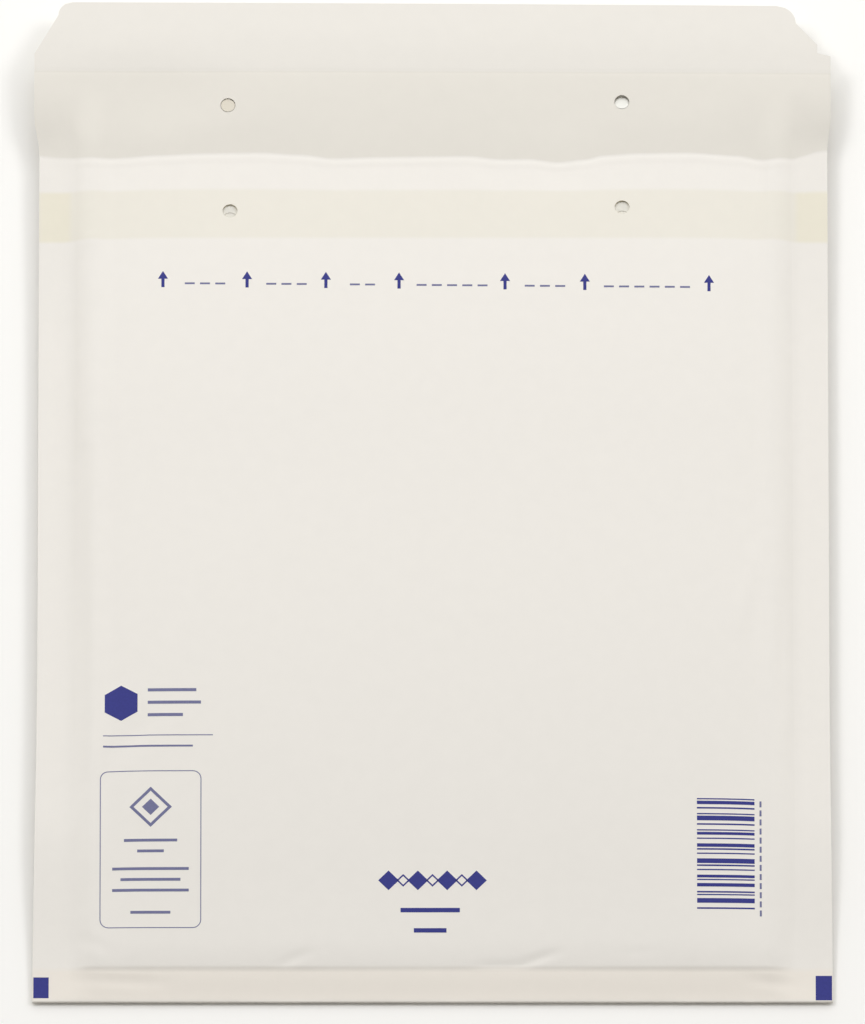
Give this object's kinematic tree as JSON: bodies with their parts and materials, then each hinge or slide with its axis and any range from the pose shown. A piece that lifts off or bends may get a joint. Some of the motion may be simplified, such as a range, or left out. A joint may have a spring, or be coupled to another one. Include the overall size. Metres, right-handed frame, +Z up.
{
  "type": "padded mailing envelope",
  "caption": "Flat white paper mailing envelope with a bubble-film lining, glued side seams, an open pocket and an unfolded flap that carries a covered adhesive strip.",
  "frame": {"origin": "middle of the outline, on the surface that the back panel lies on", "axes": "+X across the envelope, to the right when the front panel is read with the flap at the top; +Y along it, towards the flap; +Z up, out of the front panel"},
  "size_m": [0.24, 0.325, 0.0106],
  "materials": {
    "kraft_paper": "matte white kraft paper",
    "bubble_film": "translucent polyethylene film",
    "hot_melt": "pale yellowish glue",
    "pressure_adhesive": "tacky pale glue",
    "silicone_paper": "smooth coated release paper"
  },
  "bodies": {
    "root": {"paper_cover": "kraft_paper", "bubble_lining": "bubble_film", "mouth_glue_front": "hot_melt", "mouth_glue_back": "hot_melt", "seam_glue_left": "hot_melt", "seam_glue_right": "hot_melt", "flap_adhesive": "pressure_adhesive", "release_liner": "silicone_paper"}
  },
  "joints": []
}
